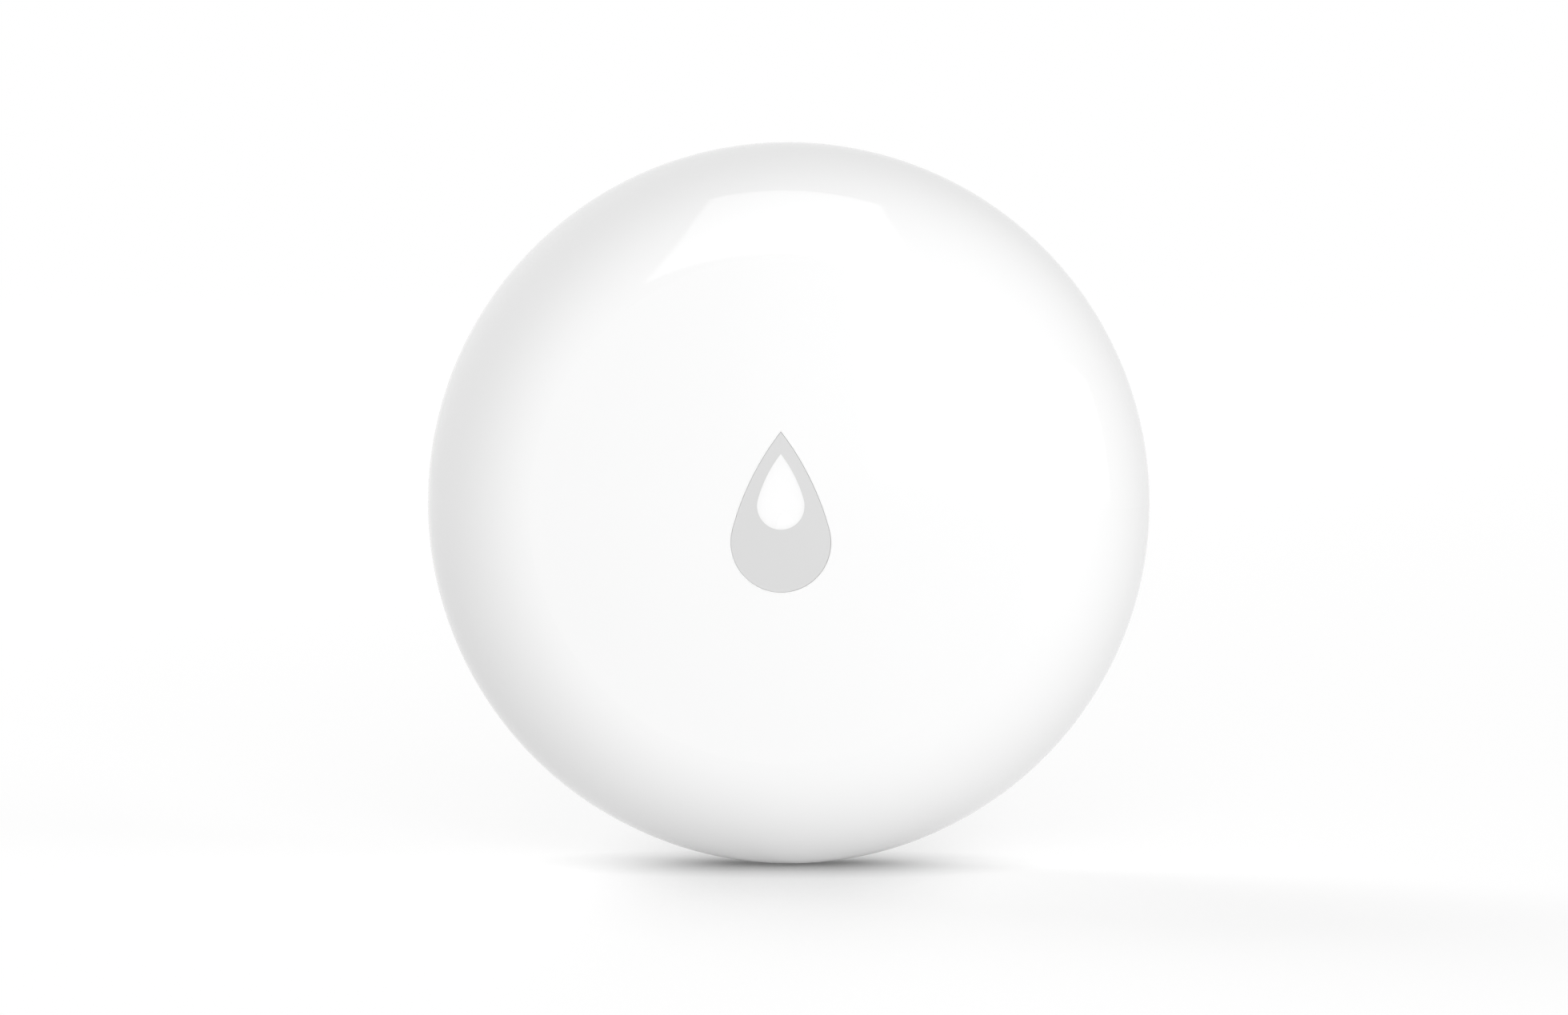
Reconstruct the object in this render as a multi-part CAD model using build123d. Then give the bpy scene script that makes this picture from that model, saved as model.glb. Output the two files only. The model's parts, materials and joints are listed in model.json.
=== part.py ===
from build123d import *
import os
from math import atan2, cos, degrees, radians, sin, sqrt

# Water leak sensor: a sealed round puck that stands on its rim, with its domed face towards -Y.
# Every piece is drawn lying down, with the floor side at height 0 and the dome on top, in millimetres,
# and is then stood up by one placement. The drop's tip points up, and opening the cover is towards +Y.

os.makedirs("parts", exist_ok=True)

# Housing
case_diameter = 50.0
case_thickness = 16.5
underside_rise = 0.4
wall = 1.6
rim_band = 0.4
shoulder_share = 0.885
base_edge_radius = 5.7
parting_drop = 1.5
parting_groove_depth = 0.3
parting_groove_height = 0.25
overrun = 1.0

# Tongue, gasket and snaps that close the housing
tongue_thickness = 1.2
tongue_clearance = 0.15
tongue_height = 3.6
gasket_level = 1.9
gasket_height = 0.8
gasket_depth = 0.6
snap_level = 0.5
snap_height = 0.8
snap_reach = 0.45
snap_clearance = 0.1
snap_count = 6
snap_angle = 20.0
snap_spare_angle = 1.0

# Drop key, its white centre and what holds it
drop_height = 11.0
drop_width = 6.85
drop_side_radius = 19.0
centre_height = 5.2
centre_width = 3.26
centre_side_radius = 9.05
centre_tip_inset = 1.5
key_gap = 0.1
key_travel = 0.3
key_flange_width = 0.9
key_flange_share = 0.11
key_flange_clearance = 0.15
seat_sink = 0.2
seal_sill = 0.4
seal_height = 0.6
seal_depth = 0.55
seal_clearance = 0.03
boss_width = 2.8
frame_gap = 0.1
frame_share = 0.11
frame_lip = 0.8
stake_radius = 0.45
stake_clearance = 0.05
stake_head_radius = 0.8
stake_head_height = 0.4
stake_round_angle = -40.0
stake_side_angle = 24.0
stem_radius = 1.2
stem_inset = 2.2
stem_gap = 0.05

# Coin cell and its contacts
cell_diameter = 20.0
cell_height = 3.2
cell_cap_diameter = 17.6
cell_cap_rise = 0.2
cell_edge_radius = 0.4
cell_clearance = 0.1
contact_height = 1.0
contact_thickness = 0.2
contact_width = 3.0
contact_pad_length = 2.4
contact_gap = 0.02
prong_overlap = 0.6
prong_tip_rise = 0.45

# Battery cover with three helical lugs under three helical ribs
cover_disc_thickness = 1.9
cover_flange_thickness = 1.4
cover_flange_gap = 0.05
cover_flange_overlap = 1.5
cover_edge_clearance = 0.15
cover_edge_radius = 0.35
cover_skirt_wall = 1.2
cover_skirt_height = 2.1
cover_skirt_gap = 0.25
cover_cell_gap = 0.3
coin_slot_width = 1.9
coin_slot_length = 13.0
coin_slot_depth = 1.1
coin_floor_radius = 36.0
cover_lead = 5.0
lug_count = 3
lug_angle = 24.0
lug_height = 0.8
lug_clearance = 0.25
lug_level = 0.95
rib_angle = 90.0
rib_height = 0.7
rib_depth = 0.9
rib_gap = 0.05
embed = 0.3
o_ring_thickness = 0.7
o_ring_squeeze_gap = 0.02
o_ring_groove_width = 0.8
well_wall = 2.2
open_angle = 60.0
mark_radius = 0.45
mark_depth = 0.2
mark_inset = 1.3
mark_angle = 45.0

# Circuit board and its screws
board_thickness = 1.0
board_clearance = 1.0
board_screw_inset = 3.15
board_screw_count = 3
board_screw_start = 90.0
screw_radius = 0.8
screw_head_radius = 1.6
screw_head_height = 0.9
screw_head_edge_radius = 0.45
screw_length = 3.9
screw_hole_clearance = 0.2
screw_recess_width = 0.4
screw_recess_length = 1.8
screw_recess_depth = 0.5
screw_boss_radius = 2.0
screw_hole_spare = 0.4

# Tactile switch and indicator
switch_width = 4.5
switch_height = 2.0
switch_corner = 0.45
plunger_radius = 1.1
plunger_clearance = 0.1
plunger_rise = 0.55
plunger_depth = 0.8
led_length = 1.6
led_width = 0.8
led_height = 0.6
led_dome_radius = 0.3

# Radio, sensing chip and small parts on the board
can_width = 9.0
can_height = 1.8
can_sheet = 0.2
can_corner_radius = 0.5
can_inset = 9.05
can_y = 5.6
chip_width = 6.0
chip_height = 0.9
crystal_length = 3.2
crystal_width = 2.5
crystal_height = 0.8
crystal_corner_radius = 0.4
crystal_offset = 1.4
crystal_y = -3.0
antenna_length = 7.0
antenna_width = 2.0
antenna_height = 1.2
antenna_inset = 4.05
antenna_angle = 135.0
sensing_length = 5.0
sensing_width = 4.0
sensing_height = 1.5
sensing_inset = 10.45
sensing_y = 1.8
lead_count = 4
lead_pitch = 1.27
lead_width = 0.4
lead_thickness = 0.2
lead_reach = 1.0
capacitor_length = 0.8
capacitor_width = 1.6
capacitor_height = 0.8
capacitor_pitch = 1.9
capacitor_count = 4
capacitor_y = -4.2

# Floor probes
probe_count = 2
probe_head_radius = 2.0
probe_head_height = 1.2
probe_head_edge_radius = 0.3
probe_recess_length = 2.4
probe_recess_width = 0.6
probe_recess_depth = 0.8
probe_radius = 1.0
probe_length = 3.8
probe_pocket_clearance = 0.15
probe_web = 0.6
probe_hole_clearance = 0.05
seal_ring_thickness = 0.6
seal_ring_inset = 0.1
insert_radius = 1.8
insert_length = 3.0
insert_floor = 0.4
probe_boss_wall = 1.1
spring_thickness = 0.15
spring_width = 1.6
spring_reach = 1.5
spring_tail = 0.6

# Rubber feet, level with the probes' heads and the cover
foot_count = 2
foot_radius = 2.0
foot_edge_radius = 0.3
foot_sink = 0.6
foot_angle = 90.0

# Heights worked out from the sizes, from the floor side up
case_radius = case_diameter / 2
flat_radius = case_radius - base_edge_radius
band_low = underside_rise + base_edge_radius
band_high = band_low + rim_band
shoulder_radius = (case_thickness - band_high) * shoulder_share
parting = band_low - parting_drop
parting_radius = flat_radius + sqrt(base_edge_radius**2 - parting_drop**2)
tongue_top = parting + tongue_height
floor_level = underside_rise + wall
cell_low = cover_disc_thickness + cell_clearance
cell_top = cell_low + cell_height
board_low = cell_top + contact_height
board_top = board_low + board_thickness
seat_level = case_thickness - wall - seat_sink
key_room = seat_level - board_top - switch_height
key_flange_low = seat_level - key_room * key_flange_share
boss_low = key_flange_low - key_travel - frame_gap
frame_low = boss_low - key_room * frame_share
plunger_top = board_top + switch_height + plunger_rise
counterbore_level = cover_flange_thickness + cover_flange_gap
skirt_top = cover_disc_thickness + cover_skirt_height
lug_low = cover_disc_thickness + lug_level

# Radii worked out from the sizes
inner_radius = case_radius - shoulder_radius
inner_radius += sqrt((shoulder_radius - wall) ** 2 - (tongue_top - band_high) ** 2)
cell_radius = cell_diameter / 2
skirt_inner = cell_radius + cover_cell_gap
skirt_outer = skirt_inner + cover_skirt_wall
rib_inner = skirt_outer + cover_skirt_gap
bore_radius = rib_inner + rib_depth
lug_outer = bore_radius - lug_clearance
flange_radius = bore_radius + cover_flange_overlap
counterbore_radius = flange_radius + cover_edge_clearance
o_ring_circle = (bore_radius + flange_radius) / 2
well_radius = bore_radius + well_wall
tongue_outer = inner_radius - tongue_clearance
tongue_inner = tongue_outer - tongue_thickness
board_radius = tongue_inner - board_clearance
board_screw_circle = board_radius - board_screw_inset
antenna_circle = board_radius - antenna_inset
can_x = board_radius - can_inset
crystal_x = can_x - crystal_offset
sensing_x = sensing_inset - board_radius
probe_pocket_radius = probe_head_radius + probe_pocket_clearance
probe_circle = counterbore_radius + probe_web + probe_pocket_radius
probe_pocket_level = probe_head_height + seal_ring_thickness
insert_low = probe_pocket_level + insert_floor
insert_top = insert_low + insert_length
foot_top = underside_rise + foot_sink

# Places of the key's parts, with the drop's box centred on the face
drop_round_y = drop_width / 2 - drop_height / 2
centre_round_y = drop_height / 2 - centre_tip_inset - (centre_height - centre_width / 2)
stem_y = stem_inset - drop_height / 2


# Plain solids used by many pieces
def disc(radius, low, high):
    return Pos(0, 0, low) * extrude(Circle(radius), high - low)


def ring(inner, outer, low, high):
    return Pos(0, 0, low) * extrude(Circle(outer) - Circle(inner), high - low)


def block(length, width, low, high):
    return Pos(0, 0, low) * extrude(Rectangle(length, width), high - low)


def around(piece, count, radius, start=0.0):
    step = 360 / count
    return [Rot(0, 0, start + step * i) * Pos(radius, 0, 0) * piece for i in range(count)]


def group(pieces):
    return Compound([solid for piece in pieces for solid in piece.solids()])


def bent_strip(points, thickness, width):
    """A metal strip bent along points of the upright XZ plane."""
    line = Polyline(*[(x, 0, z) for x, z in points])
    outline = Plane.XZ * trace(Plane.XZ.to_local_coords(line), thickness)
    return extrude(outline, width / 2, both=True)


def arc_about(centre, radius, start, end):
    """An arc in the XZ plane about centre, from one angle to another in degrees."""
    x, z = centre
    at = [radians(start + (end - start) * share) for share in (0, 0.5, 1)]
    return ThreePointArc(*[(x + radius * cos(a), 0, z + radius * sin(a)) for a in at])


# The puck's round form, or the same form set in by an even distance
def puck(inset=0.0):
    shoulder_x = case_radius - shoulder_radius
    sink = band_high - case_thickness
    crown_radius = (shoulder_radius**2 - sink**2 - shoulder_x**2) / (sink + shoulder_radius) / 2
    crown_z = case_thickness - crown_radius
    lean = degrees(atan2(band_high - crown_z, shoulder_x))
    low = underside_rise + inset
    base = arc_about((flat_radius, band_low), base_edge_radius - inset, -90, 0)
    shoulder = arc_about((shoulder_x, band_high), shoulder_radius - inset, 0, lean)
    crown = arc_about((0, crown_z), crown_radius - inset, lean, 90)
    edges = [
        Line((0, 0, low), base @ 0),
        base,
        Line(base @ 1, shoulder @ 0),
        shoulder,
        crown,
        Line(crown @ 1, (0, 0, low)),
    ]
    return revolve(Face(Wire(edges)), Axis.Z)


# The water drop: a round bottom, and two long side arcs that meet it smoothly and cross at the tip
def side_centre(width, height, side_radius):
    """How far left of the round's centre, and how far below it, the right side arc has its centre."""
    round_radius = width / 2
    rise = height - round_radius
    reach = side_radius - round_radius
    sine = (round_radius - (rise**2 - round_radius**2) / (2 * reach)) / rise
    return reach * sqrt(1 - sine**2), reach * sine


def drop(width, height, side_radius, grow=0.0):
    """The drop's face about its round's centre, grown evenly outwards."""
    left, below = side_centre(width, height, side_radius)
    r = width / 2 + grow
    s = side_radius + grow
    tip = sqrt(s**2 - left**2) - below
    start = atan2(below, left)
    middle = (start + atan2(tip + below, left)) / 2
    seam = (r * cos(start), r * sin(start))
    side = (s * cos(middle) - left, s * sin(middle) - below)
    edges = [
        ThreePointArc((-seam[0], seam[1]), (0, -r), seam),
        ThreePointArc(seam, side, (0, tip)),
        ThreePointArc((0, tip), (-side[0], side[1]), (-seam[0], seam[1])),
    ]
    return Face(Wire(edges))


def key_prism(grow, low, high):
    outline = drop(drop_width, drop_height, drop_side_radius, grow)
    return Pos(0, drop_round_y, low) * extrude(outline, high - low)


def centre_prism(low, high):
    outline = drop(centre_width, centre_height, centre_side_radius)
    return Pos(0, centre_round_y, low) * extrude(outline, high - low)


def stake_places():
    """Four places midway across the boss's rim: two at the round bottom and two on the long sides."""
    out = (boss_width + key_flange_width + key_flange_clearance) / 2
    left, below = side_centre(drop_width, drop_height, drop_side_radius)
    low = radians(stake_round_angle)
    high = radians(stake_side_angle)
    low_x = (drop_width / 2 + out) * cos(low)
    low_y = drop_round_y + (drop_width / 2 + out) * sin(low)
    high_x = (drop_side_radius + out) * cos(high) - left
    high_y = drop_round_y + (drop_side_radius + out) * sin(high) - below
    return [(low_x, low_y), (-low_x, low_y), (high_x, high_y), (-high_x, high_y)]


def snap(reach, height, angle):
    """A short arc that stands out of the tongue, with its underside at height 0."""
    outer = tongue_outer + reach
    face = Plane.XZ * Pos((tongue_inner + outer) / 2, height / 2) * Rectangle(outer - tongue_inner, height)
    return Rot(0, 0, -angle / 2) * revolve(face, Axis.Z, angle)


def top_shell():
    hollow = disc(inner_radius, parting - overrun, tongue_top)
    hollow += puck(wall) & disc(case_radius, tongue_top, case_thickness)
    shell = puck() & disc(case_radius + overrun, parting, case_thickness + overrun)
    shell -= hollow
    boss = key_prism(boss_width, boss_low, case_thickness) & puck(wall / 2)
    shell = shell + boss
    shell -= key_prism(key_gap, boss_low - overrun, case_thickness + overrun)
    pocket = key_flange_width + key_flange_clearance
    shell -= key_prism(pocket, boss_low - overrun, seat_level)
    shell -= key_prism(seal_depth, seat_level + seal_sill, seat_level + seal_sill + seal_height)
    for x, y in stake_places():
        shell += Pos(x, y) * disc(stake_radius, frame_low, boss_low)
        shell += Pos(x, y) * disc(stake_head_radius, frame_low - stake_head_height, frame_low)
    catch_height = snap_height + 2 * snap_clearance
    catch = snap(snap_reach + snap_clearance, catch_height, snap_angle + snap_spare_angle)
    catch = Pos(0, 0, parting + snap_level - snap_clearance) * catch
    for place in around(catch, snap_count, 0):
        shell -= place
    return shell


def bottom_shell():
    shell = puck() & disc(case_radius + overrun, underside_rise - overrun, parting)
    shell += disc(tongue_outer, floor_level, tongue_top)
    shell -= disc(tongue_inner, floor_level, tongue_top + overrun)
    shell += disc(well_radius, underside_rise, board_low)
    boss = disc(screw_boss_radius, floor_level, board_low)
    for place in around(boss, board_screw_count, board_screw_circle, board_screw_start):
        shell += place
    boss = disc(insert_radius + probe_boss_wall, floor_level, insert_top)
    for place in around(boss, probe_count, probe_circle):
        shell += place
    shell -= disc(bore_radius, underside_rise - overrun, board_low + overrun)
    shell -= disc(counterbore_radius, underside_rise - overrun, counterbore_level)
    gasket_low = parting + gasket_level
    shell -= ring(tongue_outer - gasket_depth, case_radius, gasket_low, gasket_low + gasket_height)
    groove_radius = parting_radius - parting_groove_depth
    shell -= ring(groove_radius, case_radius + overrun, parting - parting_groove_height, parting)
    lug = Pos(0, 0, parting + snap_level) * snap(snap_reach, snap_height, snap_angle)
    for place in around(lug, snap_count, 0):
        shell += place
    for rib in around(cover_rib(), lug_count, 0):
        shell += rib
    hole = disc(screw_radius, board_top - screw_length - screw_hole_spare, board_low + overrun)
    for place in around(hole, board_screw_count, board_screw_circle, board_screw_start):
        shell -= place
    pocket = disc(probe_pocket_radius, underside_rise - overrun, probe_pocket_level)
    pocket += disc(probe_radius + probe_hole_clearance, underside_rise, insert_top)
    pocket += disc(insert_radius, insert_low, insert_top + overrun)
    for place in around(pocket, probe_count, probe_circle):
        shell -= place
    pocket = disc(foot_radius, underside_rise - overrun, foot_top)
    for place in around(pocket, foot_count, probe_circle, foot_angle):
        shell -= place
    mark = disc(mark_radius, underside_rise - overrun, underside_rise + mark_depth)
    for angle in (mark_angle, mark_angle - open_angle):
        shell -= Rot(0, 0, angle) * Pos(counterbore_radius + mark_inset, 0) * mark
    return shell


def helical_band(inner, outer, height, angle):
    """Part of a thread, of an even height, centred on the X axis with its underside at height 0 there."""
    rise = cover_lead * angle / 360
    middle = (inner + outer) / 2
    path = Helix(cover_lead, rise, middle)
    section = Plane(origin=path @ 0, x_dir=(1, 0, 0), z_dir=path % 0) * Rectangle(outer - inner, height)
    band = sweep(section, path, is_frenet=True)
    return Pos(0, 0, height / 2 - rise / 2) * Rot(0, 0, -angle / 2) * band


def cover_rib():
    band = helical_band(rib_inner, bore_radius + embed, rib_height, rib_angle)
    return Pos(0, 0, lug_low - rib_gap - rib_height) * band


def battery_cover():
    cover = disc(flange_radius, 0, cover_flange_thickness)
    cover = fillet(cover.edges().group_by(Axis.Z)[0], cover_edge_radius)
    cover += disc(skirt_outer, 0, cover_disc_thickness)
    cover += ring(skirt_inner, skirt_outer, 0, skirt_top)
    lug = Pos(0, 0, lug_low) * helical_band(skirt_outer - embed, lug_outer, lug_height, lug_angle)
    for place in around(lug, lug_count, 0):
        cover += place
    half = o_ring_groove_width / 2
    groove_level = counterbore_level - o_ring_squeeze_gap - o_ring_thickness
    cover -= ring(o_ring_circle - half, o_ring_circle + half, groove_level, cover_flange_thickness + overrun)
    cover -= coin_slot()
    cover -= Rot(0, 0, mark_angle) * Pos(flange_radius - mark_inset, 0) * disc(mark_radius, 0, mark_depth)
    return cover


def coin_slot():
    """A slot with round ends, and with the curved floor that a coin's edge fits."""
    outline = SlotOverall(coin_slot_length, coin_slot_width)
    slot = Pos(0, 0, -overrun) * extrude(outline, overrun + coin_slot_depth)
    coin = extrude(Plane.XZ * Circle(coin_floor_radius), coin_slot_width, both=True)
    return slot & (Pos(0, 0, coin_slot_depth - coin_floor_radius) * coin)


def cover_o_ring():
    circle = Plane.XZ * Pos(o_ring_circle, 0) * Circle(o_ring_thickness / 2)
    level = counterbore_level - o_ring_squeeze_gap - o_ring_thickness / 2
    return Pos(0, 0, level) * revolve(circle, Axis.Z)


def shell_gasket():
    low = parting + gasket_level
    return ring(tongue_outer - gasket_depth, inner_radius, low, low + gasket_height)


def drop_button():
    key = key_prism(0, seat_level, case_thickness + overrun) & puck()
    key += key_prism(key_flange_width, key_flange_low, seat_level)
    key -= centre_prism(key_flange_low - overrun, case_thickness + overrun)
    key += Pos(0, stem_y) * disc(stem_radius, plunger_top + stem_gap, key_flange_low)
    return key


def drop_centre():
    return centre_prism(key_flange_low, case_thickness + overrun) & puck()


def button_seal():
    low = seat_level + seal_sill
    high = low + seal_height
    return key_prism(seal_depth, low, high) - key_prism(seal_clearance, low - overrun, high + overrun)


def button_frame():
    frame = key_prism(boss_width, frame_low, boss_low)
    frame -= key_prism(-frame_lip, frame_low - overrun, boss_low + overrun)
    for x, y in stake_places():
        frame -= Pos(x, y) * disc(stake_radius + stake_clearance, frame_low - overrun, boss_low + overrun)
    return frame


def circuit_board():
    board = disc(board_radius, board_low, board_top)
    hole = disc(screw_radius + screw_hole_clearance, board_low - overrun, board_top + overrun)
    for place in around(hole, board_screw_count, board_screw_circle, board_screw_start):
        board -= place
    return board


def cross_recess(length, width, low, high):
    return block(length, width, low, high) + block(width, length, low, high)


def board_screws():
    top = board_top + screw_head_height
    screw = disc(screw_head_radius, board_top, top)
    screw = fillet(screw.edges().group_by(Axis.Z)[-1], screw_head_edge_radius)
    screw += disc(screw_radius, board_top - screw_length, board_top)
    screw -= cross_recess(screw_recess_length, screw_recess_width, top - screw_recess_depth, top + overrun)
    return group(around(screw, board_screw_count, board_screw_circle, board_screw_start))


def switch_body():
    body = block(switch_width, switch_width, board_top, board_top + switch_height)
    body = chamfer(body.edges().filter_by(Axis.Z), switch_corner)
    body -= disc(plunger_radius + plunger_clearance, plunger_low() - key_travel, plunger_top)
    return Pos(0, stem_y) * body


def plunger_low():
    return board_top + switch_height - plunger_depth


def switch_plunger():
    plunger = disc(plunger_radius, plunger_low(), plunger_top)
    return Pos(0, stem_y) * plunger


def status_led():
    led = block(led_length, led_width, board_top, board_top + led_height)
    lens = Pos(0, 0, board_top + led_height) * Sphere(led_dome_radius)
    return Pos(0, centre_round_y) * (led + lens)


def shield_can():
    can = block(can_width, can_width, board_top, board_top + can_height)
    can = fillet(can.edges().filter_by(Axis.Z) + can.edges().group_by(Axis.Z)[-1], can_corner_radius)
    hollow = can_width - 2 * can_sheet
    can -= block(hollow, hollow, board_top - overrun, board_top + can_height - can_sheet)
    return Pos(can_x, can_y) * can


def radio_chip():
    return Pos(can_x, can_y) * block(chip_width, chip_width, board_top, board_top + chip_height)


def crystal():
    can = block(crystal_length, crystal_width, board_top, board_top + crystal_height)
    can = fillet(can.edges().filter_by(Axis.Z), crystal_corner_radius)
    return Pos(crystal_x, crystal_y) * can


def chip_antenna():
    chip = block(antenna_width, antenna_length, board_top, board_top + antenna_height)
    return Rot(0, 0, antenna_angle) * Pos(antenna_circle, 0) * chip


def sensing_chip():
    chip = block(sensing_length, sensing_width, board_top + lead_thickness, board_top + sensing_height)
    tip = sensing_width / 2 + lead_reach
    bend = tip - lead_reach / 2
    level = board_top + lead_thickness / 2
    knee = board_top + sensing_height / 2
    lead = bent_strip([(tip, level), (bend, level), (bend, knee), (0, knee)], lead_thickness, lead_width)
    for side in (90, -90):
        for i in range(lead_count):
            shift = (i - (lead_count - 1) / 2) * lead_pitch
            chip += Rot(0, 0, side) * Pos(0, shift) * lead
    return Pos(sensing_x, sensing_y) * chip


def capacitors():
    chip = block(capacitor_length, capacitor_width, board_top, board_top + capacitor_height)
    places = [sensing_x + (i - (capacitor_count - 1) / 2) * capacitor_pitch for i in range(capacitor_count)]
    return group(Pos(x, capacitor_y) * chip for x in places)


def coin_cell():
    can = disc(cell_radius, cell_low, cell_top - cell_cap_rise)
    can = fillet(can.edges().filter_by(GeomType.CIRCLE), cell_edge_radius)
    return can + disc(cell_cap_diameter / 2, cell_low + cell_edge_radius, cell_top)


def negative_contact():
    high = board_low - contact_thickness / 2
    low = cell_top + contact_gap + contact_thickness / 2
    half = cell_radius / 2
    points = [(-half - contact_pad_length, high), (-half, high), (0, low), (contact_pad_length, low),
              (half, (low + high) / 2)]
    return bent_strip(points, contact_thickness, contact_width)


def positive_contacts():
    high = board_low - contact_thickness / 2
    touch = cell_radius + contact_gap + contact_thickness / 2
    heel = touch + prong_overlap
    points = [(heel + contact_pad_length / 2, high), (heel, high), (touch, skirt_top + prong_tip_rise * 2),
              (touch + prong_tip_rise / 2, skirt_top + prong_tip_rise)]
    return group(around(bent_strip(points, contact_thickness, contact_width), 2, 0, 90.0))


def probe_screws():
    head = disc(probe_head_radius, 0, probe_head_height)
    head = fillet(head.edges().group_by(Axis.Z)[0], probe_head_edge_radius)
    screw = head + disc(probe_radius, probe_head_height, probe_head_height + probe_length)
    screw -= cross_recess(probe_recess_length, probe_recess_width, -overrun, probe_recess_depth)
    return group(around(screw, probe_count, probe_circle))


def probe_seals():
    seal = ring(probe_radius, probe_head_radius - seal_ring_inset, probe_head_height, probe_pocket_level)
    return group(around(seal, probe_count, probe_circle))


def probe_inserts():
    insert = ring(probe_radius, insert_radius, insert_low, insert_top)
    return group(around(insert, probe_count, probe_circle))


def probe_springs():
    high = board_low - spring_thickness / 2
    low = insert_top + spring_thickness / 2
    points = [(spring_tail, high), (-spring_reach / 2, high), (-spring_reach, (low + high) / 2),
              (-spring_reach / 2, low), (spring_tail, low)]
    return group(around(bent_strip(points, spring_thickness, spring_width), probe_count, probe_circle))


def floor_feet():
    foot = disc(foot_radius, 0, foot_top)
    foot = fillet(foot.edges().group_by(Axis.Z)[0], foot_edge_radius)
    return group(around(foot, foot_count, probe_circle, foot_angle))


pieces = [
    top_shell, bottom_shell, shell_gasket, drop_button, drop_centre, button_seal, button_frame,
    circuit_board, board_screws, switch_body, switch_plunger, status_led, radio_chip, shield_can,
    crystal, chip_antenna, sensing_chip, capacitors, coin_cell, negative_contact, positive_contacts,
    battery_cover, cover_o_ring, probe_screws, probe_seals, probe_inserts, probe_springs, floor_feet,
]
standing = Pos(0, case_thickness / 2, case_radius) * Rot(90, 0, 0)
for piece in pieces:
    export_step(standing * piece(), f"parts/{piece.__name__}.step")
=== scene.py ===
import json
from math import acos, atan2, cos, pi, radians, sin, sqrt

import bpy
import numpy as np
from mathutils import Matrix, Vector

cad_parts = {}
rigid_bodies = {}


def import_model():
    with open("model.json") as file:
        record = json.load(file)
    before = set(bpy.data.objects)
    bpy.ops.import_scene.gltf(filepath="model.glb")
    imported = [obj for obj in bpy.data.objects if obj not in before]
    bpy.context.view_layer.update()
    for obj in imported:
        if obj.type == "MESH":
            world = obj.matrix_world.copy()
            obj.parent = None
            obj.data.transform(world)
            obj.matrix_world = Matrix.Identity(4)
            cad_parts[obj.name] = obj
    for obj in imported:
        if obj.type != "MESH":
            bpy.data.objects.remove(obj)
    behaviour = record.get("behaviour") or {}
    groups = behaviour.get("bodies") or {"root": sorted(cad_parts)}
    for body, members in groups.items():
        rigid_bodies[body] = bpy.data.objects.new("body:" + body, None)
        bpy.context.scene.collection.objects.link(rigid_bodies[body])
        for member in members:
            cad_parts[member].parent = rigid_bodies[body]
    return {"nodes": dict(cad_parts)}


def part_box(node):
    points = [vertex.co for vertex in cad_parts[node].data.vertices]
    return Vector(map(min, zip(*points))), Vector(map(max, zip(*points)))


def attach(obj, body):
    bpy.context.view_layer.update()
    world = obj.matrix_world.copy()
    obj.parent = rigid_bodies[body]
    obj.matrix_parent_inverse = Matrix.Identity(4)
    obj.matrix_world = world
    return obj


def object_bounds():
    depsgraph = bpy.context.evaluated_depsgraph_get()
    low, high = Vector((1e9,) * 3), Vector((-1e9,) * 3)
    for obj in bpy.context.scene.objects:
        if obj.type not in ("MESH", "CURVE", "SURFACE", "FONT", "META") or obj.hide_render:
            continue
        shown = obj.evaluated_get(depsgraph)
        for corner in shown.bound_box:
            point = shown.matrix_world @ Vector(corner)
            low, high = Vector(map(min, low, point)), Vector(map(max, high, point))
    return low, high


# Water leak sensor: a sealed round puck on its rim, its domed white face towards -Y and its drop key
# in the middle of the face. All sizes are in metres, in the CAD model's own frame.
MM = 0.001

for leftover in list(bpy.data.objects):
    bpy.data.objects.remove(leftover)

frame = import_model()
cad_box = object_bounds()
nodes = frame["nodes"]

# The domed face, the drop key's outline and the probes' heads, as in the CAD model
crown_radius = 122.8 * MM
drop_height = 11.0 * MM
drop_width = 6.85 * MM
drop_side_radius = 19.0 * MM
key_gap = 0.1 * MM
probe_head_radius = 2.0 * MM

# Places read from the frame
case_low, case_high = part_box("top_shell")
case_middle = Vector((0, 0, (case_high.z + case_low.z) / 2))
face_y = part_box("drop_centre")[0].y
cell_axis = (0, 0, case_middle.z)
probe_axis = (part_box("probe_screws")[1].x - probe_head_radius, 0, case_middle.z)
floor_z = cad_box[0].z


# Nodes that work out a value. The values they take are sockets or plain numbers.
def worked_out(tree, kind, operation, values):
    """The outputs of a new maths node of one kind."""
    node = tree.nodes.new(kind)
    node.operation = operation
    for socket, value in zip(node.inputs, values):
        if isinstance(value, bpy.types.NodeSocket):
            tree.links.new(value, socket)
        else:
            socket.default_value = value
    return node.outputs


def maths(tree, operation, *values):
    """A number worked out from other numbers."""
    return worked_out(tree, "ShaderNodeMath", operation, values)["Value"]


def vector_maths(tree, operation, *values):
    """A vector worked out from other vectors."""
    return worked_out(tree, "ShaderNodeVectorMath", operation, values)["Vector"]


def length_of(tree, vector):
    """How long a vector is."""
    return worked_out(tree, "ShaderNodeVectorMath", "LENGTH", [vector])["Value"]


def own_place(tree):
    """The place on the piece, in the piece's own coordinates."""
    return tree.nodes.new("ShaderNodeTexCoord").outputs["Object"]


def noise(tree, scale, detail):
    """Noise from 0 to 1 over the piece. More detail adds smaller waves."""
    pattern = tree.nodes.new("ShaderNodeTexNoise")
    pattern.inputs["Detail"].default_value = detail
    tree.links.new(own_place(tree), pattern.inputs["Vector"])
    tree.links.new(scale, pattern.inputs["Scale"])
    return pattern.outputs["Fac"]


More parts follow.
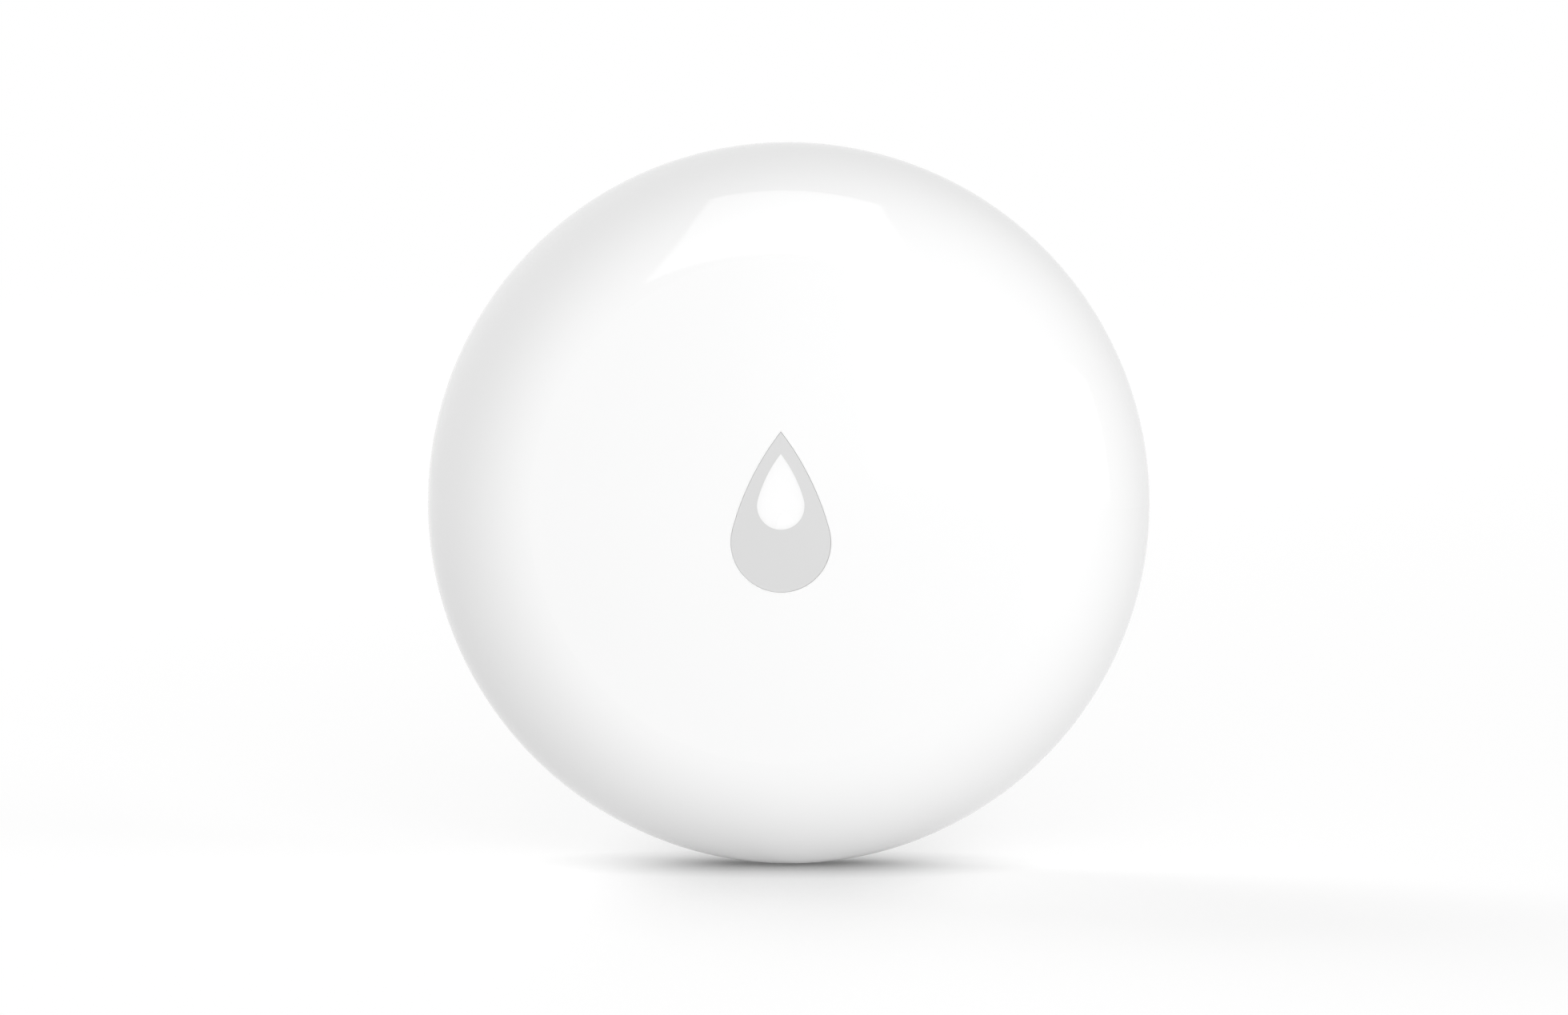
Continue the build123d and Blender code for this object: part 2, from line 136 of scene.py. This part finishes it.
def smooth_fall(tree, value, start, end, top):
    """top where the value is under start, 0 where it is past end, and a smooth slope in between."""
    slope = tree.nodes.new("ShaderNodeMapRange")
    slope.interpolation_type = "SMOOTHSTEP"
    for socket, number in (("From Min", start), ("From Max", end), ("To Min", top), ("To Max", 0)):
        slope.inputs[socket].default_value = number
    tree.links.new(value, slope.inputs["Value"])
    return slope.outputs["Result"]


# Shared effects: each is a node group that puts out a colour, a roughness or a height
PALE_GREY = (0.8, 0.8, 0.8, 1)
LINE_PITCH = 0.15 * MM


def effect(name, inputs, outputs):
    """An empty node group with its sockets, given as lists of (name, kind, default)."""
    group = bpy.data.node_groups.new(name, "ShaderNodeTree")
    for side, sockets in (("INPUT", inputs), ("OUTPUT", outputs)):
        for socket_name, kind, default in sockets:
            socket = group.interface.new_socket(socket_name, in_out=side, socket_type=f"NodeSocket{kind}")
            socket.default_value = default
    given = group.nodes.new("NodeGroupInput").outputs
    result = group.nodes.new("NodeGroupOutput").inputs
    return group, given, result


def moulding_tone():
    """Colour times 1 + Spread * (noise - 0.5): the slow change of shade in a moulded part."""
    group, given, result = effect(
        "moulding_tone",
        [("Colour", "Color", PALE_GREY), ("Spread", "Float", 0.02), ("Scale", "Float", 90.0)],
        [("Colour", "Color", PALE_GREY)],
    )
    wave = maths(group, "SUBTRACT", noise(group, given["Scale"], detail=2.0), 0.5)
    share = maths(group, "MULTIPLY_ADD", wave, given["Spread"], 1.0)
    group.links.new(vector_maths(group, "MULTIPLY", given["Colour"], share), result["Colour"])
    return group


def handling_marks():
    """Roughness + Spread * (noise - 0.5): the faint smears that handling leaves on a smooth surface."""
    group, given, result = effect(
        "handling_marks",
        [("Roughness", "Float", 0.3), ("Spread", "Float", 0.05), ("Scale", "Float", 160.0)],
        [("Roughness", "Float", 0.3)],
    )
    wave = maths(group, "SUBTRACT", noise(group, given["Scale"], detail=4.0), 0.5)
    marked = maths(group, "MULTIPLY_ADD", wave, given["Spread"], given["Roughness"])
    group.links.new(marked, result["Roughness"])
    return group


def surface_grain():
    """Height = noise: the spark-eroded texture of a mould, or the fine skin of rubber."""
    group, given, result = effect(
        "surface_grain", [("Scale", "Float", 2500.0)], [("Height", "Float", 0.0)]
    )
    group.links.new(noise(group, given["Scale"], detail=3.0), result["Height"])
    return group


def turned_lines():
    """Height = half of 1 + sin(2 pi r / Pitch), with r the distance from a turning axis along Y through
    Centre. The lines on the left of the piece mirror those on its right."""
    group, given, result = effect(
        "turned_lines",
        [("Centre", "Vector", (0, 0, 0)), ("Pitch", "Float", LINE_PITCH)],
        [("Height", "Float", 0.0)],
    )
    mirrored = vector_maths(group, "ABSOLUTE", own_place(group))
    offset = vector_maths(group, "SUBTRACT", mirrored, given["Centre"])
    flat = vector_maths(group, "MULTIPLY", offset, (1, 0, 1))
    turns = maths(group, "DIVIDE", length_of(group, flat), given["Pitch"])
    wave = maths(group, "SINE", maths(group, "MULTIPLY", turns, 2 * pi))
    group.links.new(maths(group, "MULTIPLY_ADD", wave, 0.5, 0.5), result["Height"])
    return group


TONE = moulding_tone()
MARKS = handling_marks()
GRAIN = surface_grain()
TURNING = turned_lines()


# Finishes
BUMP_HEIGHT = 0.02 * MM


def placed(tree, group, **values):
    """What one of the shared effects puts out in a material, from the values given there."""
    node = tree.nodes.new("ShaderNodeGroup")
    node.node_tree = group
    for name, value in values.items():
        node.inputs[name].default_value = value
    return node.outputs


def finish_of(
    name, colour, roughness, *,
    tone=0.02, marks=0.05, grain=2500.0, bump=0.02, turning=None, pitch=LINE_PITCH, **plain,
):
    """A finish: colour with its tone, roughness with its marks, and a bump of grain, or of turned lines
    round an axis. What else it is given is set on the shader itself."""
    material = bpy.data.materials.new(name)
    material.use_nodes = True
    tree = material.node_tree
    shader = tree.nodes["Principled BSDF"]
    shade = placed(tree, TONE, Colour=(*colour, 1), Spread=tone)
    smears = placed(tree, MARKS, Roughness=roughness, Spread=marks)
    tree.links.new(shade["Colour"], shader.inputs["Base Color"])
    tree.links.new(smears["Roughness"], shader.inputs["Roughness"])
    if turning:
        relief = placed(tree, TURNING, Centre=turning, Pitch=pitch)
    else:
        relief = placed(tree, GRAIN, Scale=grain)
    raised = tree.nodes.new("ShaderNodeBump")
    raised.inputs["Strength"].default_value = bump
    raised.inputs["Distance"].default_value = BUMP_HEIGHT
    tree.links.new(relief["Height"], raised.inputs["Height"])
    tree.links.new(raised.outputs["Normal"], shader.inputs["Normal"])
    for socket, value in plain.items():
        shader.inputs[socket.replace("_", " ")].default_value = value
    return material


white_gloss = finish_of(
    "white_gloss", (0.86, 0.86, 0.86), 0.07, tone=0.006, marks=0.02, grain=900.0, bump=0.01
)
white_satin = finish_of(
    "white_satin", (0.84, 0.84, 0.84), 0.42, tone=0.01, marks=0.06, grain=3500.0, bump=0.25
)
lip_white = finish_of("lip_white", (0.86, 0.86, 0.86), 0.3, tone=0.006, bump=0.01)
key_grey = finish_of(
    "key_grey", (0.615, 0.615, 0.615), 0.38, tone=0.01, marks=0.04, grain=3500.0, bump=0.12
)
key_white = finish_of(
    "key_white", (0.88, 0.88, 0.88), 0.12, tone=0.004, bump=0.01,
    Subsurface_Weight=0.15, Subsurface_Radius=(1.0, 1.0, 1.0), Subsurface_Scale=0.8 * MM,
)
silicone_grey = finish_of("silicone_grey", (0.55, 0.55, 0.55), 0.6, bump=0.1)
silicone_black = finish_of("silicone_black", (0.03, 0.03, 0.03), 0.55, bump=0.15)
frame_black = finish_of("frame_black", (0.03, 0.03, 0.03), 0.5, bump=0.3)
board_green = finish_of("board_green", (0.02, 0.16, 0.07), 0.35, tone=0.12, grain=1800.0, bump=0.15)
screw_steel = finish_of("screw_steel", (0.62, 0.62, 0.6), 0.3, Metallic=1.0)
probe_steel = finish_of(
    "probe_steel", (0.6, 0.6, 0.59), 0.2, turning=probe_axis, pitch=0.2 * MM, bump=0.3, Metallic=1.0
)
insert_brass = finish_of(
    "insert_brass", (0.78, 0.6, 0.28), 0.25, turning=probe_axis, bump=0.1, Metallic=1.0
)
cell_steel = finish_of(
    "cell_steel", (0.72, 0.72, 0.71), 0.22, turning=cell_axis, bump=0.08, Metallic=1.0
)
contact_gold = finish_of("contact_gold", (0.86, 0.68, 0.32), 0.2, Metallic=1.0)
contact_nickel = finish_of("contact_nickel", (0.68, 0.67, 0.63), 0.25, Metallic=1.0)
can_tin = finish_of("can_tin", (0.66, 0.66, 0.64), 0.35, tone=0.08, Metallic=1.0)
chip_black = finish_of("chip_black", (0.025, 0.025, 0.025), 0.5, bump=0.3)
switch_black = finish_of("switch_black", (0.04, 0.04, 0.045), 0.4, bump=0.2)
plunger_white = finish_of("plunger_white", (0.82, 0.82, 0.8), 0.4)
led_clear = finish_of("led_clear", (0.85, 0.88, 0.9), 0.08, Transmission_Weight=0.6, IOR=1.5)
crystal_metal = finish_of("crystal_metal", (0.74, 0.73, 0.68), 0.3, Metallic=1.0)
antenna_white = finish_of("antenna_white", (0.86, 0.86, 0.84), 0.2)
capacitor_tan = finish_of("capacitor_tan", (0.5, 0.36, 0.22), 0.3, tone=0.1)

finishes = {
    "top_shell": white_gloss, "bottom_shell": white_satin, "battery_cover": white_satin,
    "drop_button": key_grey, "drop_centre": key_white,
    "shell_gasket": silicone_grey, "button_seal": silicone_grey, "floor_feet": silicone_grey,
    "cover_o_ring": silicone_black, "probe_seals": silicone_black, "button_frame": frame_black,
    "circuit_board": board_green, "board_screws": screw_steel,
    "switch_body": switch_black, "switch_plunger": plunger_white, "status_led": led_clear,
    "radio_chip": chip_black, "sensing_chip": chip_black, "shield_can": can_tin,
    "crystal": crystal_metal, "chip_antenna": antenna_white, "capacitors": capacitor_tan,
    "coin_cell": cell_steel, "negative_contact": contact_nickel, "positive_contacts": contact_nickel,
    "probe_screws": probe_steel, "probe_inserts": insert_brass, "probe_springs": contact_gold,
}
for node_name, material in finishes.items():
    node_mesh = nodes[node_name].data
    node_mesh.materials.clear()
    node_mesh.materials.append(material)


# The soft white lip in the gap round the key
lip_clearance = 0.015 * MM
lip_sink = 0.005 * MM
lip_flatness = 0.4
lip_depth = 0.5 * MM
LIP_POINTS = 7
ARC_POINTS = 48


def ring_surface(name, points, material, body):
    """A mesh over a grid of points (rows, columns, 3), whose rows and columns both close into loops."""
    rows, columns, _ = points.shape
    here = np.arange(rows * columns).reshape(rows, columns)
    right = np.roll(here, -1, axis=1)
    faces = np.stack([here, right, np.roll(right, -1, axis=0), np.roll(here, -1, axis=0)], axis=-1)
    faces = faces.reshape(-1, 4)
    mesh = bpy.data.meshes.new(name)
    mesh.from_pydata(points.reshape(-1, 3).tolist(), [], faces.tolist())
    mesh.polygons.foreach_set("use_smooth", np.ones(len(faces), bool))
    mesh.materials.append(material)
    mesh.update()
    piece = bpy.data.objects.new(name, mesh)
    bpy.context.scene.collection.objects.link(piece)
    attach(piece, body)


def drop_outline(grow):
    """Points round the key's outline, set out by grow. The bottom is an arc of radius b + grow, b being
    half of the key's width. The two sides are arcs of radius s + grow, s being drop_side_radius. Each
    has its centre across the middle and below the bottom's own, and they meet at the tip."""
    b, s = drop_width / 2, drop_side_radius
    rise, reach = drop_height - b, s - b
    sine = (b - (rise**2 - b**2) / (2 * reach)) / rise
    across, below = reach * sqrt(1 - sine**2), reach * sine
    start = atan2(below, across)
    tip = acos(across / (s + grow))
    side = np.linspace(start, tip, ARC_POINTS)
    right = np.stack([(s + grow) * np.cos(side) - across, (s + grow) * np.sin(side) - below], axis=1)
    bottom = np.linspace(-pi - start, start, ARC_POINTS)
    low = (b + grow) * np.stack([np.cos(bottom), np.sin(bottom)], axis=1)
    left = right[::-1] * (-1, 1)
    loop = np.vstack([low[:-1], right[:-1], left[:-1]])
    return loop + (0, case_middle.z + b - drop_height / 2)


def crown_depth(x, z):
    """How far the domed face lies behind its middle: R - sqrt(R^2 - r^2), R being the crown's radius and
    r the distance from the middle."""
    return crown_radius - np.sqrt(crown_radius**2 - x**2 - (z - case_middle.z) ** 2)


def gap_lip():
    """The lip fills the gap but for lip_clearance next to the key. Its front is half a circle flattened
    to lip_flatness of its height, lip_sink behind the face, and it goes lip_depth deep."""
    middle, half = (key_gap + lip_clearance) / 2, (key_gap - lip_clearance) / 2
    turn = np.linspace(0, pi, LIP_POINTS)
    front = lip_sink + lip_flatness * half * (1 - np.sin(turn))
    grows = np.concatenate([middle + half * np.cos(turn), [middle - half, middle + half]])
    sinks = np.concatenate([front, [lip_depth, lip_depth]])
    rows = []
    for grow, sink in zip(grows, sinks):
        x, z = drop_outline(grow).T
        rows.append(np.stack([x, face_y + crown_depth(x, z) + sink, z], axis=1))
    ring_surface("gap_lip", np.array(rows), lip_white, "case")


gap_lip()


# The floor: plain white paper. The lamps cast real shadows on it, and the object's soft contact shadow is
# also painted into its glow. Its levels are shares of white.
FLOOR_GLOW = 0.7
FLOOR_LIT = 0.46
FLOOR_OPEN = 0.61
# Painted shadow: the glow at a spot is darkened by what covers its sky, within a close and a wide reach
CLOSE_SHADE = 0.19
CLOSE_REACH = 6 * MM
WIDE_SHADE = 0.52
WIDE_REACH = 120 * MM
SKY_SAMPLES = 4
# Sideways, the wide painted shadow is whole up to the first distance and gone at the second
SHADE_FULL = 3 * MM
SHADE_END = 16 * MM
# The floor goes over to plain white between two distances, and ends at a third
FLOOR_NEAR = 0.22
FLOOR_FAR = 0.9
FLOOR_REACH = 6.0


def ray_seen(tree):
    """1 for what the camera, a glossy surface or a clear one sees, and 0 for light that only fills."""
    path = tree.nodes.new("ShaderNodeLightPath").outputs
    seen = maths(tree, "MAXIMUM", path["Is Camera Ray"], path["Is Glossy Ray"])
    return maths(tree, "MAXIMUM", seen, path["Is Transmission Ray"])


def between(tree, share, low, high):
    """low where share is 0 and high where it is 1: share * (high - low) + low."""
    return maths(tree, "MULTIPLY_ADD", share, maths(tree, "SUBTRACT", high, low), low)


def glow_with_painted_shadow(tree, place):
    """The floor's seen glow with a painted shadow: FLOOR_OPEN less CLOSE_SHADE times the covered sky
    close by, and less WIDE_SHADE times the covered sky further round. The wide painted shadow fades out
    sideways from the line of contact."""
    aside = tree.nodes.new("ShaderNodeSeparateXYZ")
    tree.links.new(place, aside.inputs["Vector"])
    sideways = maths(tree, "ABSOLUTE", aside.outputs["X"])
    painted_wide_shade = smooth_fall(tree, sideways, SHADE_FULL, SHADE_END, WIDE_SHADE)
    level = FLOOR_OPEN
    for reach, shade in ((CLOSE_REACH, CLOSE_SHADE), (WIDE_REACH, painted_wide_shade)):
        # Each reach darkens the glow by the sky it finds covered: painted shadow
        sky = tree.nodes.new("ShaderNodeAmbientOcclusion")
        sky.samples = SKY_SAMPLES
        sky.inputs["Distance"].default_value = reach
        covered = maths(tree, "SUBTRACT", 1.0, sky.outputs["AO"])
        level = maths(tree, "SUBTRACT", level, maths(tree, "MULTIPLY", covered, shade))
    return level


def floor_paper():
    """Where it is seen, the floor is FLOOR_LIT times the lamps' light plus a glow with a painted shadow,
    and far off it goes over to plain white. To the object it is an even pale glow."""
    material = bpy.data.materials.new("floor_paper")
    material.use_nodes = True
    tree = material.node_tree
    tree.nodes.remove(tree.nodes["Principled BSDF"])
    place = own_place(tree)
    seen = ray_seen(tree)
    near = smooth_fall(tree, length_of(tree, place), FLOOR_NEAR, FLOOR_FAR, 1)
    lit = maths(tree, "MULTIPLY", maths(tree, "MULTIPLY", seen, near), FLOOR_LIT)
    paper = tree.nodes.new("ShaderNodeBsdfDiffuse")
    tree.links.new(lit, paper.inputs["Color"])
    # The seen glow: painted shadow near the object, plain white far off
    look = between(tree, near, 1.0, glow_with_painted_shadow(tree, place))
    glow = tree.nodes.new("ShaderNodeEmission")
    tree.links.new(between(tree, seen, FLOOR_GLOW, look), glow.inputs["Strength"])
    both = tree.nodes.new("ShaderNodeAddShader")
    tree.links.new(paper.outputs["BSDF"], both.inputs[0])
    tree.links.new(glow.outputs["Emission"], both.inputs[1])
    tree.links.new(both.outputs["Shader"], tree.nodes["Material Output"].inputs["Surface"])
    return material


def floor():
    """A level square at the object's lowest point."""
    corners = [
        (x * FLOOR_REACH, y * FLOOR_REACH, floor_z) for x, y in ((-1, -1), (1, -1), (1, 1), (-1, 1))
    ]
    mesh = bpy.data.meshes.new("floor")
    mesh.from_pydata(corners, [], [(0, 1, 2, 3)])
    mesh.materials.append(floor_paper())
    piece = bpy.data.objects.new("floor", mesh)
    bpy.context.scene.collection.objects.link(piece)


floor()


# Light: an even white room, and lamps that face the object
ROOM_LIGHT = 0.43
# Each lamp's name, azimuth and elevation in degrees, distance, width, height, and power in watts
MIRRORED_LAMPS = [
    ("mirror_above", -1.5, 50, 1.0, 0.66, 1.1, 3.5),
    ("mirror_right", 46, 10, 1.2, 2.2, 0.8, 6.0),
]
LIGHTING_LAMPS = [
    ("lamp_front", 8, 8, 1.5, 0.7, 0.5, 5.4),
    ("lamp_front_mid", 8, 24, 1.5, 0.7, 0.5, 4.2),
    ("lamp_right", 60, 12, 1.4, 0.8, 0.6, 4.9),
    ("lamp_left", -125, 10, 1.4, 0.8, 0.6, 2.8),
    ("lamp_behind_left", -145, 28, 1.4, 0.8, 0.7, 7.5),
    ("lamp_above", -9, 34, 1.0, 0.75, 1.1, 1.1),
]


def room():
    """An even world light, seen as plain white by the camera and by glossy and clear surfaces."""
    world = bpy.data.worlds.new("room")
    world.use_nodes = True
    bpy.context.scene.world = world
    tree = world.node_tree
    back = tree.nodes["Background"]
    back.inputs["Color"].default_value = (1, 1, 1, 1)
    level = maths(tree, "MULTIPLY_ADD", ray_seen(tree), 1 - ROOM_LIGHT, ROOM_LIGHT)
    tree.links.new(level, back.inputs["Strength"])


def towards(azimuth, elevation):
    """The direction from the object to a place: azimuth 0 is in front of the face, 90 on its right."""
    a, e = radians(azimuth), radians(elevation)
    return Vector((sin(a) * cos(e), -cos(a) * cos(e), sin(e)))


def softbox(name, azimuth, elevation, distance, width, height, power, reflected):
    """A rectangular lamp that faces the object. It is seen in reflections only, or it lights only."""
    lamp = bpy.data.lights.new(name, "AREA")
    lamp.shape = "RECTANGLE"
    lamp.size = width
    lamp.size_y = height
    lamp.energy = power
    stand = bpy.data.objects.new(name, lamp)
    direction = towards(azimuth, elevation)
    stand.location = case_middle + direction * distance
    stand.rotation_euler = direction.to_track_quat("Z", "Y").to_euler()
    stand.visible_glossy = reflected
    stand.visible_diffuse = not reflected
    bpy.context.scene.collection.objects.link(stand)


room()
for lamp_values in MIRRORED_LAMPS:
    softbox(*lamp_values, reflected=True)
for lamp_values in LIGHTING_LAMPS:
    softbox(*lamp_values, reflected=False)


# The camera, a little above the face and a little to its right, aimed close to the case's middle
CAMERA_DISTANCE = 0.9
CAMERA_AZIMUTH = 3.0
CAMERA_ELEVATION = 3.6
VIEW_WIDTH = 108.3 * MM
AIM_RIGHT = -0.21 * MM
AIM_UP = -0.19 * MM
NEAREST = 0.01
FARTHEST = 20.0
# In millimetres, as Blender gives a lens
SENSOR_WIDTH = 36.0


def camera():
    """A long lens that sees VIEW_WIDTH at the object's distance."""
    lens = bpy.data.cameras.new("camera")
    lens.sensor_width = SENSOR_WIDTH
    lens.lens = SENSOR_WIDTH * CAMERA_DISTANCE / VIEW_WIDTH
    lens.clip_start = NEAREST
    lens.clip_end = FARTHEST
    stand = bpy.data.objects.new("camera", lens)
    direction = towards(CAMERA_AZIMUTH, CAMERA_ELEVATION)
    turn = direction.to_track_quat("Z", "Y")
    aim = case_middle + turn @ Vector((AIM_RIGHT, AIM_UP, 0))
    stand.location = aim + direction * CAMERA_DISTANCE
    stand.rotation_euler = turn.to_euler()
    bpy.context.scene.collection.objects.link(stand)
    bpy.context.scene.camera = stand


camera()

bpy.context.scene.view_settings.view_transform = "Standard"
bpy.context.view_layer.update()
